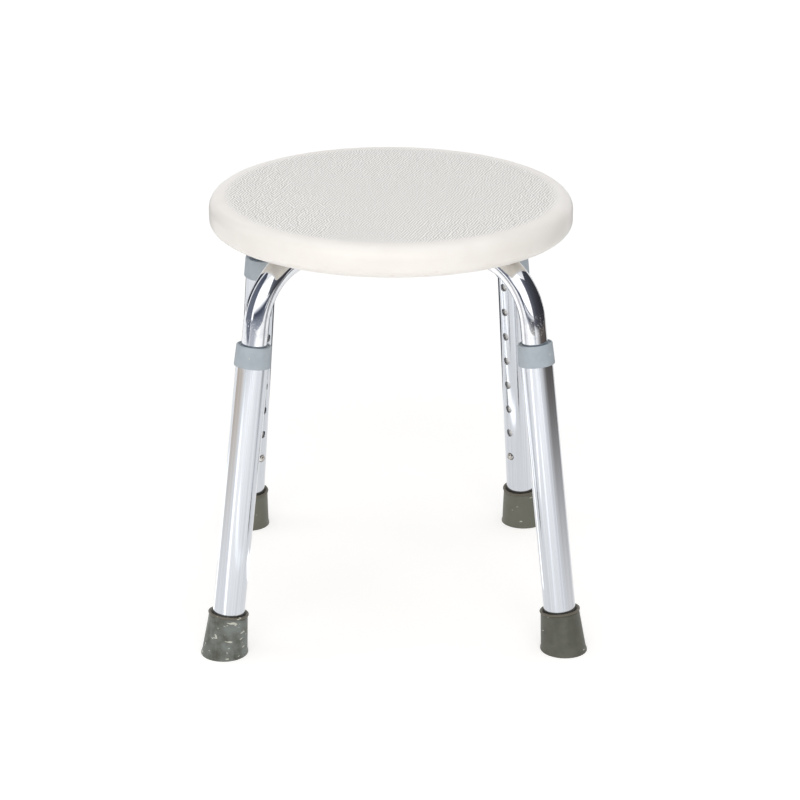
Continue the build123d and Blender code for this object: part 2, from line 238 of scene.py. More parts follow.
def makeTubeFinish():  # polished aluminium: a clear mirror, a little rippled, dull where it slides in the leg, with a painted highlight behind each hole
    s = tubeFinish
    finish, tree, shader = newFinish("polished_aluminium", {})
    place = addNode(tree, "ShaderNodeTexCoord", {})
    where = place.outputs["Object"]
    height = addNode(tree, "ShaderNodeSeparateXYZ", {}, [("Vector", where)]).outputs["Z"]
    patch = addNode(tree, "ShaderNodeTexNoise", {"Scale": 1 / (s["patch"] * mm), "Detail": 4.0}, [
        ("Vector", where)])
    haze = addNode(tree, "ShaderNodeMapRange", {
        "From Min": s["patchEdge"][0], "From Max": s["patchEdge"][1],
    }, [("Value", patch.outputs["Fac"])])
    metal = addNode(tree, "ShaderNodeMix", {
        "data_type": "RGBA", 6: linear(s["clean"]), 7: linear(s["hazy"]),
    }, [(0, haze.outputs["Result"])])
    spots = addNode(tree, "ShaderNodeTexNoise", {"Scale": 1 / (s["spotSize"] * mm), "Detail": 2.0}, [
        ("Vector", where)])
    dried = addNode(tree, "ShaderNodeMapRange", {
        "From Min": s["spotEdge"][0], "From Max": s["spotEdge"][1],
    }, [("Value", spots.outputs["Fac"])])
    low, full, fading, high = [z * mm for z in s["spotZone"]]
    above = addNode(tree, "ShaderNodeMapRange", {"From Min": low, "From Max": full}, [("Value", height)])
    below = addNode(tree, "ShaderNodeMapRange", {"From Min": high, "From Max": fading}, [("Value", height)])
    zone = addNode(tree, "ShaderNodeMath", {"operation": "MULTIPLY"}, [
        (0, above.outputs["Result"]), (1, below.outputs["Result"])])
    spotted = addNode(tree, "ShaderNodeMath", {"operation": "MULTIPLY"}, [
        (0, zone.outputs["Value"]), (1, dried.outputs["Result"])])
    polish = addNode(tree, "ShaderNodeMapRange", {"To Min": s["polish"][0], "To Max": s["polish"][1]}, [
        ("Value", haze.outputs["Result"])])
    dull = addNode(tree, "ShaderNodeMapRange", {
        "From Min": s["worn"][0] * mm, "From Max": s["worn"][1] * mm}, [("Value", height)])
    colour = addNode(tree, "ShaderNodeMix", {"data_type": "RGBA", 7: linear(s["spot"])}, [
        (0, spotted.outputs["Value"]), (6, metal.outputs[2])])
    middle = addNode(tree, "ShaderNodeVectorMath", {"operation": "MULTIPLY", 1: (-1.0, -1.0, 0.0)}, [
        (0, where)])
    inward = addNode(tree, "ShaderNodeVectorMath", {"operation": "NORMALIZE"}, [
        (0, middle.outputs["Vector"])])
    facing = addNode(tree, "ShaderNodeVectorMath", {"operation": "DOT_PRODUCT"}, [
        (0, place.outputs["Normal"]), (1, inward.outputs["Vector"])])
    # painted highlight behind each hole of the leg, so that the holes read bright
    across = addNode(tree, "ShaderNodeMapRange", {
        "clamp": False, "From Min": 1.0, "From Max": 0.0, "To Max": 2 / s["holeLightSpot"][0] ** 2,
    }, [("Value", facing.outputs["Value"])])  # the turn, squared
    count = addNode(tree, "ShaderNodeMapRange", {
        "clamp": False, "From Min": s["holeLow"] * mm, "From Max": (s["holeLow"] + s["holeRise"]) * mm,
    }, [("Value", height)])
    off = addNode(tree, "ShaderNodeMath", {"operation": "PINGPONG", 1: 0.5}, [(0, count.outputs["Result"])])
    tall = addNode(tree, "ShaderNodeMath", {"operation": "MULTIPLY", 1: s["holeRise"] / s["holeLightSpot"][1]}, [
        (0, off.outputs["Value"])])
    apart = addNode(tree, "ShaderNodeMath", {"operation": "MULTIPLY_ADD"}, [
        (0, tall.outputs["Value"]), (1, tall.outputs["Value"]), (2, across.outputs["Result"])])
    spot = addNode(tree, "ShaderNodeMapRange", {"From Min": s["holeLightEdge"][0], "From Max": s["holeLightEdge"][1]}, [
        ("Value", apart.outputs["Value"])])
    holeLight = addNode(tree, "ShaderNodeMath", {"operation": "MULTIPLY"}, [
        (0, spot.outputs["Result"]), (1, dull.outputs["Result"])])
    holeLit = addNode(tree, "ShaderNodeMix", {"data_type": "RGBA", 7: linear(s["holeLight"])}, [
        (0, holeLight.outputs["Value"]), (6, colour.outputs[2])])
    tree.links.new(holeLit.outputs[2], shader.inputs["Base Color"])
    worn = addNode(tree, "ShaderNodeMix", {3: s["wornRough"]}, [
        (0, dull.outputs["Result"]), (2, polish.outputs["Result"])])
    rough = addNode(tree, "ShaderNodeMix", {3: s["spotRough"]}, [
        (0, spotted.outputs["Value"]), (2, worn.outputs[0])])
    tree.links.new(rough.outputs[0], shader.inputs["Roughness"])
    cover = addNode(tree, "ShaderNodeMath", {"operation": "MAXIMUM"}, [
        (0, holeLight.outputs["Value"]), (1, spotted.outputs["Value"])])
    bare = addNode(tree, "ShaderNodeMath", {"operation": "SUBTRACT", 0: 1.0}, [(1, cover.outputs["Value"])])
    tree.links.new(bare.outputs["Value"], shader.inputs["Metallic"])
    ripple = addNode(tree, "ShaderNodeTexNoise", {"Scale": 1 / (s["waver"] * mm), "Detail": 1.0}, [
        ("Vector", where)])
    bump = addNode(tree, "ShaderNodeBump", {"Strength": 1.0, "Distance": s["waverDepth"] * mm}, [
        ("Height", ripple.outputs["Fac"])])
    tree.links.new(bump.outputs["Normal"], shader.inputs["Normal"])
    return finish


metalFinishes = {  # colours, roughness, width and length of the lines left by the making in mm, depth
    "drawn_aluminium": ("#D4D8DE", "#C8CCD3", (0.10, 0.14), 0.9, 400.0, 0.0016),
    "nickel_plated_spring": ("#C8C5C0", "#9C9894", (0.03, 0.07), 1.4, 12.0, 0.004),
    "zinc_plated_steel": ("#C9CBCB", "#A9ABAA", (0.28, 0.42), 2.2, 2.2, 0.010),
    "turned_brass": ("#C9A45C", "#A5813F", (0.22, 0.34), 1.0, 0.4, 0.004),
}
lineEdge = (0.35, 0.65)


def makeMetalFinish(name, space):  # bare or plated metal: bright, broken by the fine lines of its making
    light, dark, roughness, wide, long, depth = metalFinishes[name]
    finish, tree, shader = newFinish(name, {"Metallic": 1.0})
    if space:
        where = addNode(tree, "ShaderNodeAttribute", {"attribute_name": space}).outputs["Vector"]
    else:
        where = addNode(tree, "ShaderNodeTexCoord", {}).outputs["Object"]
    stretched = addNode(tree, "ShaderNodeMapping", {
        "vector_type": "TEXTURE", "Scale": (wide * mm, wide * mm, long * mm)}, [("Vector", where)])
    lines = addNode(tree, "ShaderNodeTexNoise", {"Scale": 1.0, "Detail": 3.0}, [
        ("Vector", stretched.outputs["Vector"])])
    spread = addNode(tree, "ShaderNodeMapRange", {"From Min": lineEdge[0], "From Max": lineEdge[1]}, [
        ("Value", lines.outputs["Fac"])])
    colour = addNode(tree, "ShaderNodeMix", {"data_type": "RGBA", 6: linear(light), 7: linear(dark)}, [
        (0, spread.outputs["Result"])])
    tree.links.new(colour.outputs[2], shader.inputs["Base Color"])
    rough = addNode(tree, "ShaderNodeMapRange", {"To Min": roughness[0], "To Max": roughness[1]}, [
        ("Value", spread.outputs["Result"])])
    tree.links.new(rough.outputs["Result"], shader.inputs["Roughness"])
    bump = addNode(tree, "ShaderNodeBump", {"Strength": 1.0, "Distance": depth * mm}, [
        ("Height", lines.outputs["Fac"])])
    tree.links.new(bump.outputs["Normal"], shader.inputs["Normal"])
    return finish


collarFinish = {
    "light": "#ABB5BD",
    "dark": "#9EA8B0",
    "gate": "#CDCECB",        # the pip where the plastic flowed in is rubbed pale
    "grit": 0.5,              # spark-eroded mould texture in mm
    "gritShare": 0.35,
    "depth": 0.02,
    "cloud": 8.3333,          # mm
    "cloudEdge": (0.45, 0.95),
    "sheen": (0.48, 0.62),    # roughness
}


def makeCollarFinish():  # injection-moulded polypropylene: matte, with a faint mould texture
    s = collarFinish
    finish, tree, shader = newFinish("moulded_polypropylene", {"IOR": 1.49, "Specular IOR Level": 0.35})
    where = addNode(tree, "ShaderNodeAttribute", {"attribute_name": "legSpace"}).outputs["Vector"]
    grit = addNode(tree, "ShaderNodeTexNoise", {"Scale": 1 / (s["grit"] * mm), "Detail": 2.0}, [
        ("Vector", where)])
    cloud = addNode(tree, "ShaderNodeTexNoise", {"Scale": 1 / (s["cloud"] * mm), "Detail": 3.0}, [
        ("Vector", where)])
    mixed = addNode(tree, "ShaderNodeMath", {"operation": "MULTIPLY_ADD", 1: s["gritShare"]}, [
        (0, grit.outputs["Fac"]), (2, cloud.outputs["Fac"])])
    amount = addNode(tree, "ShaderNodeMapRange", {
        "From Min": s["cloudEdge"][0], "From Max": s["cloudEdge"][1],
    }, [("Value", mixed.outputs["Value"])])
    colour = addNode(tree, "ShaderNodeMix", {
        "data_type": "RGBA", 6: linear(s["light"]), 7: linear(s["dark"]),
    }, [(0, amount.outputs["Result"])])
    gate = addNode(tree, "ShaderNodeAttribute", {"attribute_name": "gateMark"})
    marked = addNode(tree, "ShaderNodeMix", {"data_type": "RGBA", 7: linear(s["gate"])}, [
        (0, gate.outputs["Fac"]), (6, colour.outputs[2])])
    tree.links.new(marked.outputs[2], shader.inputs["Base Color"])
    rough = addNode(tree, "ShaderNodeMapRange", {"To Min": s["sheen"][0], "To Max": s["sheen"][1]}, [
        ("Value", cloud.outputs["Fac"])])
    tree.links.new(rough.outputs["Result"], shader.inputs["Roughness"])
    bump = addNode(tree, "ShaderNodeBump", {"Strength": 1.0, "Distance": s["depth"] * mm}, [
        ("Height", grit.outputs["Fac"])])
    tree.links.new(bump.outputs["Normal"], shader.inputs["Normal"])
    return finish


rubberFinish = {
    "body": "#58594F",
    "deep": "#47483F",
    "rearLight": "#6F7064",        # painted light: a lighter copy of the rubber on the rear feet, which the lamps light less
    "rearLightShare": 0.6,
    "bead": "#5F584B",         # the flash at the mouth has browned
    "beadZone": (34.6, 35.6),  # height up the leg in mm
    "beadShare": 0.8,
    "sheenTint": "#737976",        # painted sheen: a lighter blue-grey on the front left foot, standing in for its reflection
    "scuff": "#C6C6BA",
    "scuffShare": 0.85,
    "scuffEdge": (1.02, 1.06),
    "cloud": 14.2857,          # mm
    "cloudEdge": (0.35, 0.65),
    "speckle": 0.9,            # mm
    "speckleShare": 0.4,
    "fleck": (6.6, 6.6, 2.3),  # length, depth and height of a pale scuff in mm
    "fleckTurn": (0.35, -0.25, 0),
    "flock": 16.0,             # size of the patches where scuffs gather
    "flockShare": 0.5,
    "extraScuffs": 0.09,       # the front left foot is rubbed the most
    "sheen": (0.34, 0.56),     # roughness
    "depth": 0.15,             # of the mottling, in mm
}


def makeRubberFinish():  # pressed rubber: dull olive grey, mottled, with pale scuffs in patches
    s = rubberFinish
    finish, tree, shader = newFinish("pressed_rubber", {"IOR": 1.52, "Specular IOR Level": 0.45})
    where = addNode(tree, "ShaderNodeAttribute", {"attribute_name": "legSpace"}).outputs["Vector"]
    cloud = addNode(tree, "ShaderNodeTexNoise", {
        "Scale": 1 / (s["cloud"] * mm), "Detail": 5.0, "Roughness": 0.6}, [("Vector", where)])
    speckle = addNode(tree, "ShaderNodeTexNoise", {"Scale": 1 / (s["speckle"] * mm), "Detail": 3.0}, [
        ("Vector", where)])
    mottle = addNode(tree, "ShaderNodeMapRange", {
        "From Min": s["cloudEdge"][0], "From Max": s["cloudEdge"][1],
    }, [("Value", cloud.outputs["Fac"])])
    base = addNode(tree, "ShaderNodeMix", {
        "data_type": "RGBA", 6: linear(s["deep"]), 7: linear(s["body"]),
    }, [(0, mottle.outputs["Result"])])
    parts = addNode(tree, "ShaderNodeSeparateXYZ", {}, [("Vector", where)])
    # painted light: the rear feet are made lighter than the front ones
    rear = addNode(tree, "ShaderNodeMapRange", {
        "From Min": legApart * 1.49, "From Max": legApart * 1.51, "To Max": s["rearLightShare"],
    }, [("Value", parts.outputs["X"])])  # the third and fourth corners
    rearLit = addNode(tree, "ShaderNodeMix", {"data_type": "RGBA", 7: linear(s["rearLight"])}, [
        (0, rear.outputs["Result"]), (6, base.outputs[2])])
    first = addNode(tree, "ShaderNodeMath", {"operation": "LESS_THAN", 1: legApart / 2}, [
        (0, parts.outputs["X"])])  # the first corner
    # painted sheen on the front left foot, patchy with the mottling
    sheenPatch = addNode(tree, "ShaderNodeMath", {"operation": "MULTIPLY"}, [
        (0, first.outputs["Value"]), (1, mottle.outputs["Result"])])
    sheenTinted = addNode(tree, "ShaderNodeMix", {"data_type": "RGBA", 7: linear(s["sheenTint"])}, [
        (0, sheenPatch.outputs["Value"]), (6, rearLit.outputs[2])])
    onBead = addNode(tree, "ShaderNodeMapRange", {
        "From Min": s["beadZone"][0] * mm, "From Max": s["beadZone"][1] * mm, "To Max": s["beadShare"],
    }, [("Value", parts.outputs["Z"])])
    beaded = addNode(tree, "ShaderNodeMix", {"data_type": "RGBA", 7: linear(s["bead"])}, [
        (0, onBead.outputs["Result"]), (6, sheenTinted.outputs[2])])
    flecks = addNode(tree, "ShaderNodeMapping", {
        "vector_type": "TEXTURE", "Rotation": s["fleckTurn"], "Scale": [size * mm for size in s["fleck"]],
    }, [("Vector", where)])
    fleck = addNode(tree, "ShaderNodeTexNoise", {"Scale": 1.0, "Detail": 1.0}, [
        ("Vector", flecks.outputs["Vector"])])
    flock = addNode(tree, "ShaderNodeTexNoise", {"Scale": 1 / (s["flock"] * mm), "Detail": 1.0}, [
        ("Vector", where)])
    patchy = addNode(tree, "ShaderNodeMath", {"operation": "MULTIPLY_ADD", 1: s["flockShare"]}, [
        (0, flock.outputs["Fac"]), (2, fleck.outputs["Fac"])])
    gathered = addNode(tree, "ShaderNodeMath", {"operation": "MULTIPLY_ADD", 1: s["extraScuffs"]}, [
        (0, first.outputs["Value"]), (2, patchy.outputs["Value"])])
    scuffed = addNode(tree, "ShaderNodeMapRange", {
        "From Min": s["scuffEdge"][0], "From Max": s["scuffEdge"][1], "To Max": s["scuffShare"],
    }, [("Value", gathered.outputs["Value"])])
    colour = addNode(tree, "ShaderNodeMix", {"data_type": "RGBA", 7: linear(s["scuff"])}, [
        (0, scuffed.outputs["Result"]), (6, beaded.outputs[2])])
    tree.links.new(colour.outputs[2], shader.inputs["Base Color"])
    rough = addNode(tree, "ShaderNodeMapRange", {"To Min": s["sheen"][0], "To Max": s["sheen"][1]}, [
        ("Value", cloud.outputs["Fac"])])
    tree.links.new(rough.outputs["Result"], shader.inputs["Roughness"])
    relief = addNode(tree, "ShaderNodeMath", {"operation": "MULTIPLY_ADD", 1: s["speckleShare"]}, [
        (0, speckle.outputs["Fac"]), (2, cloud.outputs["Fac"])])
    bump = addNode(tree, "ShaderNodeBump", {"Strength": 0.8, "Distance": s["depth"] * mm}, [
        ("Height", relief.outputs["Value"])])
    tree.links.new(bump.outputs["Normal"], shader.inputs["Normal"])
    return finish


guideFinish = {"light": "#2C2D2F", "dark": "#1D1E20", "grit": 0.6, "sheen": (0.4, 0.6)}


def makeGuideFinish():  # moulded nylon: near black, low sheen
    s = guideFinish
    finish, tree, shader = newFinish("moulded_nylon", {"IOR": 1.53})
    where = addNode(tree, "ShaderNodeTexCoord", {}).outputs["Object"]
    grit = addNode(tree, "ShaderNodeTexNoise", {"Scale": 1 / (s["grit"] * mm), "Detail": 3.0}, [
        ("Vector", where)])
    colour = addNode(tree, "ShaderNodeMix", {
        "data_type": "RGBA", 6: linear(s["light"]), 7: linear(s["dark"]),
    }, [(0, grit.outputs["Fac"])])
    tree.links.new(colour.outputs[2], shader.inputs["Base Color"])
    rough = addNode(tree, "ShaderNodeMapRange", {"To Min": s["sheen"][0], "To Max": s["sheen"][1]}, [
        ("Value", grit.outputs["Fac"])])
    tree.links.new(rough.outputs["Result"], shader.inputs["Roughness"])
    return finish


finishes = {
    "seat": makeSeatFinish(),
    "tube": makeTubeFinish(),
    "leg": makeMetalFinish("drawn_aluminium", "legSpace"),
    "clip": makeMetalFinish("nickel_plated_spring", "legSpace"),
    "zinc": makeMetalFinish("zinc_plated_steel", None),
    "brass": makeMetalFinish("turned_brass", None),
    "collar": makeCollarFinish(),
    "rubber": makeRubberFinish(),
    "guide": makeGuideFinish(),
}
print("finishes made:", len(finishes))


# shapes

weldGap = 0.002 * mm   # points closer than this are one
planeGap = 0.001 * mm  # a point this close to a cutting plane lies on it
roundSteps = 6         # faces along a rounded corner


def turnOutline(outline, closed, steps):  # rows of radius, height and corner round, in mm, turned about z
    bm = bmesh.new()
    verts = [bm.verts.new((radius * mm, 0, height * mm)) for radius, height, corner in outline]
    ends = verts[1:] + verts[:1] if closed else verts[1:]
    for first, second in zip(verts, ends):
        bm.edges.new((first, second))
    for vert, (radius, height, corner) in zip(verts, outline):
        if corner:
            bmesh.ops.bevel(bm, geom=[vert], offset=corner * mm, offset_type="OFFSET", segments=roundSteps,
                            profile=0.5, affect="VERTICES", material=-1)
    bmesh.ops.spin(bm, geom=bm.verts[:] + bm.edges[:], cent=(0, 0, 0), axis=(0, 0, 1),
                   angle=math.tau, steps=steps, use_merge=True)
    bmesh.ops.remove_doubles(bm, verts=bm.verts, dist=weldGap)
    bmesh.ops.recalc_face_normals(bm, faces=bm.faces)
    return bm


def addRod(bm, radius, low, high, place, segments):  # round cutter about z, from low to high, in mm
    made = bmesh.ops.create_cone(bm, cap_ends=True, segments=segments, radius1=radius * mm,
                                 radius2=radius * mm, depth=(high - low) * mm)["verts"]
    bmesh.ops.translate(bm, vec=(0, 0, (high + low) / 2 * mm), verts=made)
    bmesh.ops.transform(bm, matrix=place, verts=made)


def layAcross(height):  # turns what lies along z to lie along x, this high up the leg, in mm
    return Matrix.Translation((0, 0, height * mm)) @ Matrix.Rotation(math.radians(90), 4, "Y")


def toObject(bm, name):
    mesh = bpy.data.meshes.new(name)
    bm.to_mesh(mesh)
    bm.free()
    piece = bpy.data.objects.new(name, mesh)
    bpy.context.scene.collection.objects.link(piece)
    return piece


def applyModifiers(piece):
    whole = piece.evaluated_get(bpy.context.evaluated_depsgraph_get())
    mesh = bpy.data.meshes.new_from_object(whole)
    piece.modifiers.clear()
    piece.data = mesh


def cutOut(piece, cutters):  # takes the cutters out of the piece, as a drill or a mould core does
    for cutter in cutters:
        cut = piece.modifiers.new("cut", "BOOLEAN")
        cut.object = cutter
        cut.operation = "DIFFERENCE"
        cut.solver = "EXACT"
    applyModifiers(piece)
    for cutter in cutters:
        bpy.data.objects.remove(cutter)


def softenEdges(piece, width, segments, angle):
    edge = piece.modifiers.new("edge", "BEVEL")
    edge.width = width * mm
    edge.segments = segments
    edge.limit_method = "ANGLE"
    edge.angle_limit = math.radians(angle)
    applyModifiers(piece)


def dress(piece, finish, body, replaced, corner=None, sharp=35):
    mesh = piece.data
    mesh.shade_smooth()
    mesh.set_sharp_from_angle(angle=math.radians(sharp))
    mesh.materials.clear()
    mesh.materials.append(finishes[finish])
    if corner:
        toLeg = legPlace(corner).inverted()
        apart = Vector((corners.index(corner) * legApart, 0, 0))
        space = mesh.attributes.new("legSpace", "FLOAT_VECTOR", "POINT")
        for vert, row in zip(mesh.vertices, space.data):
            row.vector = toLeg @ vert.co + apart
    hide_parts(replaced)
    if body:
        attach(piece, body)


tubeHeight = -32.0  # middle of the cross tubes, in mm from the seat's top


def armPlace(corner):  # at the crossing of the tubes: x runs out to the leg, z is up
    centre = seatTop + Vector((0, 0, tubeHeight * mm))
    out = Vector(mounts["sole_" + corner]["pos_m"]) - centre
    out.z = 0
    out.normalize()
    up = Vector((0, 0, 1))
    place = Matrix((out, up.cross(out), up)).transposed().to_4x4()
    place.translation = centre
    return place


seatShape = {
    "radius": 160.0,
    "thickness": 27.0,
    "topRound": 11.0,
    "bottomRound": 7.0,
    "grooveRadius": 11.2,
    "groove": (20.0, 139.6),      # from and to, along the arm; the recess takes the middle
    "recess": (46.1, 0, -20.7),   # radius, place behind the middle, roof under the seat's top
    "blowHole": (3.0, 70.1, -16.0),  # the same
    "edge": 0.9,
    "flatInset": 2.0,             # a ring this far in from the round keeps the shading of the flats flat
    "steps": (192, 64, 96),       # round the seat, a groove and a recess
}


def makeSeat():
    s = seatShape
    low = -s["thickness"]
    flat = s["radius"] - s["topRound"] - s["flatInset"]
    outline = [(0, low, 0), (flat, low, 0), (s["radius"], low, s["bottomRound"]),
               (s["radius"], 0, s["topRound"]), (flat, 0, 0), (0, 0, 0)]
    aroundSeat, aroundGroove, aroundRecess = s["steps"]
    bm = turnOutline(outline, False, aroundSeat)
    bmesh.ops.translate(bm, vec=seatTop, verts=bm.verts)
    seat = toObject(bm, "seat_board")
    cutters = []
    for corner in corners:
        groove = bmesh.new()
        addRod(groove, s["grooveRadius"], *s["groove"], armPlace(corner) @ layAcross(0), aroundGroove)
        cutters.append(toObject(groove, "groove"))
    for radius, back, roof in (s["recess"], s["blowHole"]):
        recess = bmesh.new()
        place = Matrix.Translation(seatTop + Vector((0, back * mm, 0)))
        addRod(recess, radius, tubeHeight, roof, place, aroundRecess)
        cutters.append(toObject(recess, "recess"))
    cutOut(seat, cutters)
    softenEdges(seat, s["edge"], segments=3, angle=40)
    dress(seat, "seat", "frame", "seat", sharp=50)


tubeShape = {
    "radius": 11.0,
    "wall": 1.2,
    "bend": 55.0,
    "pressed": (17.14, 46.14),  # the middle is flat up to the first and round again from the second
    "pressedHalf": 5.5,         # half of the flattened tube's height
    "lowEnd": 54.0,             # up the leg from the floor
    "buttonHole": 3.6,
    "buttonHeight": 74.5,
    "buttonDrill": (4, 16),     # from and to, out of the middle of the tube
    "boltHole": 3.3,
    "boltReach": 77.37,
    "boltDrill": (-20, 20),
    "segments": 96,
    "drillSteps": 40,
    "bendSteps": 36,
    "pressSteps": 8,
}


def pressFlat(angle):  # where the press moves a point of the round tube to, across and up
    s = tubeShape
    half = s["pressedHalf"]
    knee = math.pi * (s["radius"] - half) / 2  # the wall keeps its length
    turn = (angle + math.pi / 4) % math.tau
    quarter, along = divmod(turn, math.pi / 2)
    along = along / (math.pi / 2)
    flip = 1 if quarter < 2 else -1
    if quarter % 2:
        return flip * knee * (1 - 2 * along), flip * half
    swing = math.pi * (along - 0.5)
    return flip * (knee + half * math.cos(swing)), flip * half * math.sin(swing)


def extrudeRing(bm, ring, move):  # returns the new ring, moved
    made = bmesh.ops.extrude_edge_only(bm, edges=ring)["geom"]
    verts = [part for part in made if isinstance(part, bmesh.types.BMVert)]
    bmesh.ops.translate(bm, vec=move, verts=verts)
    edges = [part for part in made if isinstance(part, bmesh.types.BMEdge)]
    return [edge for edge in edges if all(vert in verts for vert in edge.verts)]


def addArm(bm, corner, side):  # half of a cross tube: in to the crossing, and out and down into the leg
    s = tubeShape
    place = armPlace(corner)
    leg = legPlace(corner)
    upLeg = leg.to_3x3().col[2]
    high = place.translation.z / upLeg.z  # up the leg, to where it meets the line of the arm
    reach = (place.inverted() @ (leg.translation + upLeg * high)).x
    turn = math.pi / 2 - math.acos(upLeg.z)
    tangent = s["bend"] * mm * math.tan(turn / 2)
    flatEnd, roundStart = [x * mm for x in s["pressed"]]
    before = set(bm.verts)
    made = bmesh.ops.create_circle(bm, segments=s["segments"], radius=s["radius"] * mm)["verts"]
    bmesh.ops.transform(bm, matrix=Matrix.Translation((roundStart, 0, 0)) @ layAcross(0), verts=made)
    angle = bm.verts.layers.float["angle"]
    for vert in made:
        vert[angle] = math.atan2(vert.co.z, vert.co.y)
    ring = list({edge for vert in made for edge in vert.link_edges})
    outer = extrudeRing(bm, ring, (reach - tangent - roundStart, 0, 0))
    bend = bmesh.ops.spin(bm, geom=outer + list({v for e in outer for v in e.verts}), angle=turn,
                          steps=s["bendSteps"], cent=(reach - tangent, 0, -s["bend"] * mm),
                          axis=(0, 1, 0))["geom_last"]
    bent = [part for part in bend if isinstance(part, bmesh.types.BMEdge)]
    down = Vector((math.cos(turn), 0, -math.sin(turn)))
    extrudeRing(bm, bent, down * (high - tangent - s["lowEnd"] * mm))
    last = s["pressSteps"] + 1  # one more goes to the middle
    for step in range(1, last + 1):
        share = min(step / s["pressSteps"], 1)
        x = roundStart + share * (flatEnd - roundStart) if step < last else 0
        ring = extrudeRing(bm, ring, (0, 0, 0))
        for vert in {v for e in ring for v in e.verts}:
            across, up = pressFlat(vert[angle])
            y = math.cos(vert[angle]) * s["radius"] * (1 - share) + across * share
            z = math.sin(vert[angle]) * s["radius"] * (1 - share) + (up + side * s["pressedHalf"]) * share
            vert.co = Vector((x, y * mm, z * mm))
    bmesh.ops.transform(bm, matrix=place, verts=[vert for vert in bm.verts if vert not in before])


def makeCrossTube(name, ends, side):
    s = tubeShape
    bm = bmesh.new()
    bm.verts.layers.float.new("angle")
    for corner in ends:
        addArm(bm, corner, side)
    bmesh.ops.remove_doubles(bm, verts=bm.verts, dist=5 * weldGap)
    bmesh.ops.recalc_face_normals(bm, faces=bm.faces)
    tube = toObject(bm, name + "_bent")
    wall = tube.modifiers.new("wall", "SOLIDIFY")
    wall.thickness = s["wall"] * mm
    wall.offset = -1
    wall.use_even_offset = True
    applyModifiers(tube)
    drills = bmesh.new()
    addRod(drills, s["boltHole"], *s["boltDrill"], armPlace(ends[0]), s["drillSteps"])
    for corner in ends:
        bolt = armPlace(corner) @ Matrix.Translation((s["boltReach"] * mm, 0, 0))
        addRod(drills, s["boltHole"], *s["boltDrill"], bolt, s["drillSteps"])
        button = legPlace(corner) @ layAcross(s["buttonHeight"])
        addRod(drills, s["buttonHole"], *s["buttonDrill"], button, s["drillSteps"])
    cutOut(tube, [toObject(drills, "drills")])
    dress(tube, "tube", "frame", name)


legShape = {
    "radius": 14.0,
    "wall": 1.2,
    "low": 8.5,
    "high": 272.5,
    "holeRadius": 3.6,
    "lowestHole": 74.5,
    "holePitch": 25.0,
    "holeCount": 8,
    "edge": 0.22,
    "steps": 128,
    "drillSteps": 40,
}


def makeLegTube(corner):
    s = legShape
    outer = s["radius"]
    inner = outer - s["wall"]
    outline = [(inner, s["low"], 0), (outer, s["low"], 0), (outer, s["high"], 0), (inner, s["high"], 0)]
    tube = toObject(turnOutline(outline, True, s["steps"]), "leg_tube_" + corner + "_drilled")
    drills = bmesh.new()
    for step in range(s["holeCount"]):
        hole = layAcross(s["lowestHole"] + step * s["holePitch"])
        addRod(drills, s["holeRadius"], outer / 2, outer * 1.5, hole, s["drillSteps"])
    cutOut(tube, [toObject(drills, "drills")])
    softenEdges(tube, s["edge"], segments=1, angle=40)
    tube.data.transform(legPlace(corner))
    dress(tube, "leg", "leg_" + corner, "leg_tube_" + corner, corner, sharp=30)


collarShape = {
    "outline": [  # radius, height up the leg, corner round
        (14.1, 258.7, 0.25), (15.8, 258.7, 0.6), (15.1, 277.5, 0.85), (13.2, 277.5, 0.85), (13.2, 276.1, 0.4),
        (11.3, 276.1, 0.4), (11.3, 256.5, 0.2), (12.7, 256.5, 0.2), (12.7, 272.5, 0), (14.1, 272.5, 0)],
    "pipRadius": 15.5,    # of the wall where the mould's gate left its pip
    "pipHeight": 268.5,
    "pipSize": 1.5,
    "pipReach": 0.28,
    "pipSlope": 0.2,
    "pipRound": 0.15,
    "pipTurn": {"front_left": 215, "front_right": 181, "rear_right": 170, "rear_left": 195},  # degrees
    "steps": 112,
}


def makeCollar(corner):
    s = collarShape
    bm = turnOutline(s["outline"], True, s["steps"])
    turn = math.radians(s["pipTurn"][corner])
    out = Vector((math.cos(turn), math.sin(turn), 0))
    spot = (out * s["pipRadius"] + Vector((0, 0, s["pipHeight"]))) * mm
    for height in (s["pipHeight"] - s["pipSize"] / 2, s["pipHeight"] + s["pipSize"] / 2):
        bmesh.ops.bisect_plane(bm, geom=bm.verts[:] + bm.edges[:] + bm.faces[:], dist=planeGap,
                               plane_co=(0, 0, height * mm), plane_no=(0, 0, 1))
    outer = [face for face in bm.faces if face.normal.dot(out) > 0.6]  # the wall on that side, not the bore
    gate = min(outer, key=lambda face: (face.calc_center_median() - spot).length)
    bmesh.ops.inset_individual(bm, faces=[gate], thickness=s["pipSlope"] * mm, depth=s["pipReach"] * mm)
    mark = bm.verts.layers.float.new("gateMark")
    for vert in bm.verts:
        near = (vert.co - spot).length < s["pipSize"] * mm
        vert[mark] = float(near and vert.co.xy.length > s["pipRadius"] * mm)
    bmesh.ops.bevel(bm, geom=gate.edges[:], offset=s["pipRound"] * mm, offset_type="OFFSET", segments=3,
                    profile=0.5, affect="EDGES", material=-1)
    collar = toObject(bm, "leg_collar_" + corner + "_moulded")
    collar.data.transform(legPlace(corner))
    dress(collar, "collar", "leg_" + corner, "leg_collar_" + corner, corner, sharp=50)


footShape = {
    "outline": [  # radius, height up the leg, corner round
        (0, -7.0, 0), (20.5, -7.0, 0), (17.0, 33.9, 0.3), (16.6, 34.3, 0.2), (16.6, 34.8, 0.2),
        (17.7, 35.0, 0.8), (17.7, 37.0, 0.9), (15.9, 37.0, 0.8), (14.1, 34.6, 0.3), (14.1, 7.0, 0),
        (0, 7.0, 0)],
    "lipHeight": 1.3,
    "lipReach": 0.55,
    "treadWidth": 4.5,
    "treadSlope": 0.5,
    "treadDepth": 0.9,
    "steps": 112,
}


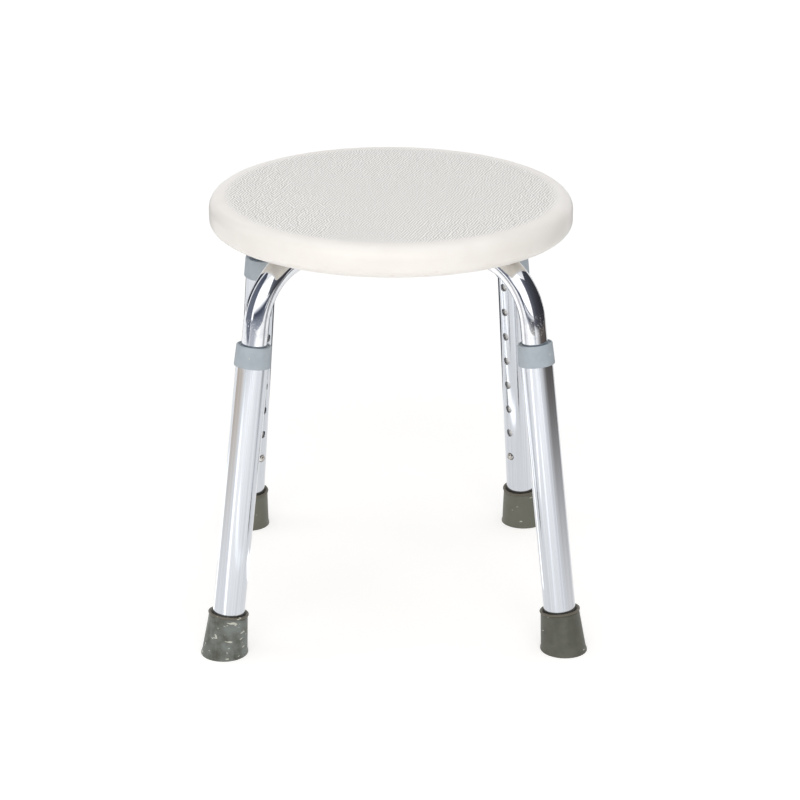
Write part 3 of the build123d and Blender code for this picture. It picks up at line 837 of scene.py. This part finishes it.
def makeFoot(corner):
    s = footShape
    place = legPlace(corner)
    bm = turnOutline(s["outline"], False, s["steps"])
    bmesh.ops.transform(bm, matrix=place, verts=bm.verts)
    lip = s["lipHeight"] * mm
    for height, clear in ((0, True), (lip, False), (2 * lip, False)):  # the first cuts the sole level
        bmesh.ops.bisect_plane(bm, geom=bm.verts[:] + bm.edges[:] + bm.faces[:], dist=planeGap,
                               plane_co=(0, 0, height), plane_no=(0, 0, 1), clear_inner=clear)
    axis = place.translation
    for vert in bm.verts:
        if vert.co.z < 1.01 * lip:  # the rings at the floor and at the lip's top
            out = Vector((vert.co.x - axis.x, vert.co.y - axis.y, 0))
            vert.co += out.normalized() * s["lipReach"] * mm
    rim = [edge for edge in bm.edges if edge.is_boundary]
    sole = bmesh.ops.contextual_create(bm, geom=rim)["faces"]
    bmesh.ops.inset_region(bm, faces=sole, thickness=s["treadWidth"] * mm)
    bmesh.ops.inset_region(bm, faces=sole, thickness=s["treadSlope"] * mm, depth=-s["treadDepth"] * mm)
    bmesh.ops.recalc_face_normals(bm, faces=bm.faces)
    foot = toObject(bm, "foot_" + corner + "_moulded")
    dress(foot, "rubber", "leg_" + corner, "foot_" + corner, corner, sharp=45)


clipShape = {
    "armX": 8.16,
    "low": 69.5,
    "knee": 81.1,
    "high": 114.5,
    "bend": 3.0,
    "width": 8.0,
    "thickness": 0.8,
    "buttonRadius": 3.3,
    "buttonTip": 16.4,
    "buttonRound": 2.4,
    "buttonHeight": 74.5,
    "buttonSteps": 48,
}


def makeSnapClip(corner):
    s = clipShape
    place = legPlace(corner)
    route = [(s["armX"], s["low"]), (s["armX"], s["knee"]), (0, s["high"])]
    route += [(-x, z) for x, z in reversed(route[:2])]
    bm = bmesh.new()
    verts = [bm.verts.new((x * mm, -s["width"] / 2 * mm, z * mm)) for x, z in route]
    for first, second in zip(verts, verts[1:]):
        bm.edges.new((first, second))
    for vert in verts[1:-1]:
        bmesh.ops.bevel(bm, geom=[vert], offset=s["bend"] * mm, offset_type="OFFSET", segments=8,
                        profile=0.5, affect="VERTICES", material=-1)
    extrudeRing(bm, bm.edges[:], (0, s["width"] * mm, 0))
    bmesh.ops.recalc_face_normals(bm, faces=bm.faces)
    bmesh.ops.solidify(bm, geom=bm.faces[:], thickness=s["thickness"] * mm)
    bmesh.ops.recalc_face_normals(bm, faces=bm.faces)
    bmesh.ops.transform(bm, matrix=place, verts=bm.verts)
    strip = toObject(bm, "snap_strip_" + corner)
    dress(strip, "clip", None, "snap_clip_" + corner, corner, sharp=40)
    back = place @ Vector((-s["armX"] * mm, 0, s["buttonHeight"] * mm))
    front = place @ Vector((s["armX"] * mm, 0, s["buttonHeight"] * mm))
    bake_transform(strip, "frame", "button_" + corner, start=back, end=front)
    outline = [(0, s["buttonTip"], 0), (s["buttonRadius"], s["buttonTip"], s["buttonRound"]),
               (s["buttonRadius"], s["armX"], 0), (0, s["armX"], 0)]
    dome = turnOutline(outline, False, s["buttonSteps"])
    bmesh.ops.transform(dome, matrix=place @ layAcross(s["buttonHeight"]), verts=dome.verts)
    button = toObject(dome, "snap_button_" + corner)
    dress(button, "clip", "button_" + corner, "snap_clip_" + corner, corner, sharp=40)


makeSeat()
print("seat made")
makeCrossTube("cross_tube_upper", ["front_left", "rear_right"], 1)
makeCrossTube("cross_tube_lower", ["front_right", "rear_left"], -1)
print("cross tubes made")
for corner in corners:
    makeLegTube(corner)
    makeCollar(corner)
    makeFoot(corner)
    makeSnapClip(corner)
    print("leg made:", corner)

plainNodes = {
    "zinc": ["seat_bolts", "saddle_washers", "centre_washer"] + [
        "foot_washer_" + corner for corner in corners],
    "brass": ["seat_inserts"],
    "guide": ["tube_guide_" + corner for corner in corners],
}
for finish, names in plainNodes.items():
    for name in names:
        nodes[name].data.materials.clear()
        nodes[name].data.materials.append(finishes[finish])
print("CAD nodes finished")


# studio

stage = {
    "floorSize": 16.0,
    "floorSteps": 8,
    "floorColour": "#CCCBC9",
    "floorGlow": 0.36,           # lit table: light comes up from the paper too
    "floorWhite": (0.20, 0.46),  # added for the eye and for mirrors, near the object and far out
    "floorReach": (0.4, 2.4),    # where near ends and far starts, in metres
    "ambient": "#F4F5F7",
    "ambientStrength": 0.48,
    "cardSteps": 16,             # faces along a card, so that its tones run smoothly
}
softboxes = {  # place, aim, width, height in metres, power in watts, colour
    "key": ((-0.15, -1.50, 1.40), (0, 0, 0.35), 2.1, 1.4, 13.6, "#FFFBF6"),
    "left": ((-1.70, 0.0, 0.70), (0, 0, 0.35), 1.2, 1.2, 4.5, "#FFFCF8"),
    "fill": ((0.30, -1.85, 0.34), (0, 0, 0.34), 1.4, 0.5, 5.2, "#FFFDFA"),
    "top": ((0.1, 0.2, 2.1), (0, 0, 0.2), 1.6, 1.6, 10.0, "#FFFFFF"),
}
cards = {  # glowing toned sheets that only mirrors see, set round the stool to place light and dark reflections in the metal: corners in metres, the colour at each, brightness
    "window": ([(-2.6, -1.5, 0.33), (2.3, -1.5, 0.33),
                (2.3, -1.5, 2.6), (-2.6, -1.5, 2.6)],
               ["#FFFFFF"] * 4, 1.5),
    "front": ([(-1.6, -1.5, 0.11), (2.3, -1.5, 0.11),
               (2.3, -1.5, 0.33), (-1.6, -1.5, 0.33)],
              ["#C9CCD4", "#A9ADB8", "#5C6374", "#4C5364"], 1.0),
    "belly": ([(-0.203, -0.239, 0.288), (0.003, -0.210, 0.266),
               (0.003, -0.210, 0.318), (-0.203, -0.239, 0.322)],
              ["#A4A9B4", "#8F94A1", "#474D5E", "#474D5E"], 1.0),
    "belly_top": ([(-0.203, -0.239, 0.322), (0.003, -0.210, 0.318),
                   (0.003, -0.210, 0.338), (-0.203, -0.239, 0.342)],
                  ["#474D5E", "#474D5E", "#FFFFFF", "#FFFFFF"], 1.2),
    "belly_right": ([(0.003, -0.210, 0.262), (0.130, -0.198, 0.276),
                     (0.130, -0.198, 0.288), (0.003, -0.210, 0.284)],
                    ["#DADADC", "#B8B5B4", "#3E414B", "#6A6F7B"], 1.0),
    "belly_right_top": ([(0.003, -0.210, 0.284), (0.130, -0.198, 0.288),
                         (0.130, -0.198, 0.300), (0.003, -0.210, 0.302)],
                        ["#6A6F7B", "#3E414B", "#FFFFFF", "#FFFFFF"], 1.2),
    "left": ([(-0.498, -0.439, 0.240), (-0.585, 0.053, 0.240),
              (-0.585, 0.053, 1.25), (-0.498, -0.439, 1.25)],
             ["#787D8A", "#787D8A", "#474D5D", "#474D5D"], 1.0),
    "left_back": ([(-0.539, 0.147, 0.27), (-0.365, 0.315, 0.27),
                   (-0.365, 0.315, 0.9), (-0.539, 0.147, 0.9)],
                  ["#3A3F4C"] * 4, 1.0),
    "right_front": ([(0.183, -0.433, 0.237), (0.360, -0.331, 0.237),
                     (0.360, -0.331, 0.78), (0.110, -0.460, 0.78)],
                    ["#6A6A72", "#46464B", "#4E5059", "#6A6E7B"], 1.0),
    "right": ([(0.360, -0.331, 0.237), (0.411, -0.058, 0.237),
               (0.411, -0.058, 0.78), (0.360, -0.331, 0.78)],
              ["#46464B", "#363539", "#484A52", "#4E5059"], 1.0),
    "right_back": ([(0.411, -0.058, 0.237), (0.327, 0.143, 0.237),
                    (0.327, 0.143, 0.78), (0.411, -0.058, 0.78)],
                   ["#363539", "#363539", "#484A52", "#484A52"], 1.0),
    "right_low": ([(0.176, -0.224, 0.004), (0.225, -0.181, 0.004),
                   (0.180, -0.155, 0.285), (0.131, -0.198, 0.285)],
                  ["#FFFFFF", "#EFEDEB", "#5E5753", "#FFFFFF"], 1.05),
    "right_edge": ([(0.225, -0.181, 0.004), (0.222, -0.093, 0.004),
                    (0.177, -0.067, 0.285), (0.180, -0.155, 0.285)],
                   ["#EFEDEB", "#EFEDEB", "#524C48", "#5E5753"], 1.05),
    "left_low": ([(-0.209, -0.205, 0.02), (-0.229, -0.173, 0.02),
                  (-0.195, -0.153, 0.25), (-0.175, -0.185, 0.25)],
                 ["#FFFFFF", "#FFFFFF", "#DFD3C7", "#FFFFFF"], 1.05),
    "left_edge": ([(-0.229, -0.173, 0.02), (-0.229, -0.113, 0.02),
                   (-0.195, -0.093, 0.25), (-0.195, -0.153, 0.25)],
                  ["#FFFFFF", "#FFFFFF", "#D6C8BA", "#DFD3C7"], 1.05),
    "floor_back": ([(-0.25, 0.45, 0.001), (0.25, 0.45, 0.001),
                    (1.8, 2.4, 0.001), (-1.8, 2.4, 0.001)],
                   ["#5C5E64"] * 4, 1.0),
    "strip_left": ([(-0.23, -0.29, 0.001), (-0.20, -0.30, 0.001),
                    (-1.05, -1.75, 0.001), (-1.45, -1.45, 0.001)],
                   ["#FFFFFF"] * 4, 1.9),
    "strip_right": ([(0.073, -0.252, 0.001), (0.098, -0.268, 0.001),
                     (-0.168, -0.99, 0.001), (-0.302, -0.93, 0.001)],
                    ["#D8D8D8", "#D8D8D8", "#FFFFFF", "#FFFFFF"], 1.9),
    "edge_right": ([(0.040, -0.095, 0.002), (0.050, -0.060, 0.002),
                    (-0.400, 0.330, 0.002), (-0.470, 0.220, 0.002)],
                   ["#FFFFFF"] * 4, 1.9),
    "edge_left": ([(-0.210, -0.095, 0.002), (-0.200, -0.060, 0.002),
                   (-0.650, 0.330, 0.002), (-0.720, 0.220, 0.002)],
                  ["#FFFFFF"] * 4, 1.9),
}


def seenRays(tree):  # 1 where the eye, a mirror or a clear piece looks, 0 where light is gathered
    rays = addNode(tree, "ShaderNodeLightPath", {})
    direct = addNode(tree, "ShaderNodeMath", {"operation": "MAXIMUM"}, [
        (0, rays.outputs["Is Camera Ray"]), (1, rays.outputs["Is Glossy Ray"])])
    return addNode(tree, "ShaderNodeMath", {"operation": "MAXIMUM"}, [
        (0, direct.outputs["Value"]), (1, rays.outputs["Is Transmission Ray"])]).outputs["Value"]


def makeSurround():
    world = bpy.data.worlds.new("studio_surround")
    bpy.context.scene.world = world
    world.use_nodes = True
    tree = world.node_tree
    tree.nodes.clear()
    soft = addNode(tree, "ShaderNodeBackground", {
        "Color": linear(stage["ambient"]), "Strength": stage["ambientStrength"]})
    white = addNode(tree, "ShaderNodeBackground", {"Color": linear("#FFFFFF"), "Strength": 1.0})
    mixed = addNode(tree, "ShaderNodeMixShader", {}, [
        (0, seenRays(tree)), (1, soft.outputs["Background"]), (2, white.outputs["Background"])])
    addNode(tree, "ShaderNodeOutputWorld", {}, [("Surface", mixed.outputs["Shader"])])


def makeFloor():
    bm = bmesh.new()
    bmesh.ops.create_grid(bm, x_segments=stage["floorSteps"], y_segments=stage["floorSteps"],
                          size=stage["floorSize"] / 2)
    floor = toObject(bm, "floor")
    paper = bpy.data.materials.new("white_paper_sweep")  # seamless paper: white to the eye, keeps the shadow
    paper.use_nodes = True
    tree = paper.node_tree
    tree.nodes.clear()
    where = addNode(tree, "ShaderNodeTexCoord", {}).outputs["Object"]
    radius = addNode(tree, "ShaderNodeVectorMath", {"operation": "LENGTH"}, [(0, where)])
    white = addNode(tree, "ShaderNodeMapRange", {
        "From Min": stage["floorReach"][0], "From Max": stage["floorReach"][1],
        "To Min": stage["floorWhite"][0], "To Max": stage["floorWhite"][1],
    }, [("Value", radius.outputs["Value"])])
    strength = addNode(tree, "ShaderNodeMath", {"operation": "MULTIPLY_ADD", 2: stage["floorGlow"]}, [
        (0, seenRays(tree)), (1, white.outputs["Result"])])
    glow = addNode(tree, "ShaderNodeEmission", {"Color": linear("#FFFFFF")}, [
        ("Strength", strength.outputs["Value"])])
    matte = addNode(tree, "ShaderNodeBsdfDiffuse", {"Color": linear(stage["floorColour"])})
    both = addNode(tree, "ShaderNodeAddShader", {}, [
        (0, matte.outputs["BSDF"]), (1, glow.outputs["Emission"])])
    addNode(tree, "ShaderNodeOutputMaterial", {}, [("Surface", both.outputs["Shader"])])
    floor.data.materials.append(paper)


def makeSoftbox(name):
    place, aim, width, height, power, colour = softboxes[name]
    light = bpy.data.lights.new("softbox_" + name, "AREA")
    light.shape = "RECTANGLE"
    light.size = width
    light.size_y = height
    light.energy = power
    light.color = linear(colour)[:3]
    lamp = bpy.data.objects.new("softbox_" + name, light)
    lamp.location = place
    lamp.rotation_euler = (Vector(aim) - Vector(place)).to_track_quat("-Z", "Y").to_euler()
    lamp.visible_camera = False
    lamp.visible_glossy = False
    bpy.context.scene.collection.objects.link(lamp)


def makeGlowSheet():  # a glowing sheet that gives the bright metal something to mirror
    glowSheet = bpy.data.materials.new("toned_glow_sheet")
    glowSheet.use_nodes = True
    tree = glowSheet.node_tree
    tree.nodes.clear()
    tone = addNode(tree, "ShaderNodeAttribute", {"attribute_name": "tone"})
    shine = addNode(tree, "ShaderNodeEmission", {}, [("Color", tone.outputs["Color"])])
    addNode(tree, "ShaderNodeOutputMaterial", {}, [("Surface", shine.outputs["Emission"])])
    return glowSheet


def makeCard(name, glowSheet):
    outline, colours, glow = cards[name]
    tones = [Vector(linear(colour)) * glow for colour in colours]
    bm = bmesh.new()
    tone = bm.verts.layers.float_color.new("tone")
    bmesh.ops.create_grid(bm, x_segments=stage["cardSteps"], y_segments=stage["cardSteps"], size=0.5)
    for vert in bm.verts:
        across, up = vert.co.x + 0.5, vert.co.y + 0.5
        vert.co = Vector(outline[0]).lerp(Vector(outline[1]), across).lerp(
            Vector(outline[3]).lerp(Vector(outline[2]), across), up)
        across, up = [share * share * (3 - 2 * share) for share in (across, up)]  # slow at the edges
        vert[tone] = tones[0].lerp(tones[1], across).lerp(tones[3].lerp(tones[2], across), up)
    card = toObject(bm, "card_" + name)
    card.data.materials.append(glowSheet)
    card.visible_camera = False
    card.visible_diffuse = False
    card.visible_shadow = False
    card.visible_transmission = False


makeSurround()
makeFloor()
for name in softboxes:
    makeSoftbox(name)
glowSheet = makeGlowSheet()
for name in cards:
    makeCard(name, glowSheet)
print("studio made")

cameraView = {
    "focal": 2728.8,     # in pixels of an 800 pixel frame
    "frame": 800,
    "sensor": 36.0,
    "place": (-69.6, -2298.3, 1058.6),  # mm
    "yaw": 1.95,
    "pitch": 20.93,
    "roll": 0.30,
}


def makeCamera():
    s = cameraView
    lens = bpy.data.cameras.new("camera")
    lens.sensor_fit = "HORIZONTAL"
    lens.sensor_width = s["sensor"]
    lens.lens = s["focal"] * s["sensor"] / s["frame"]
    camera = bpy.data.objects.new("camera", lens)
    turn = Matrix.Rotation(-math.radians(s["yaw"]), 4, "Z")
    turn = turn @ Matrix.Rotation(math.radians(90 - s["pitch"]), 4, "X")
    turn = turn @ Matrix.Rotation(math.radians(s["roll"]), 4, "Z")
    camera.matrix_world = Matrix.Translation(Vector(s["place"]) * mm) @ turn
    bpy.context.scene.collection.objects.link(camera)
    bpy.context.scene.camera = camera


makeCamera()
bpy.context.scene.view_settings.view_transform = "Standard"
print("camera set")
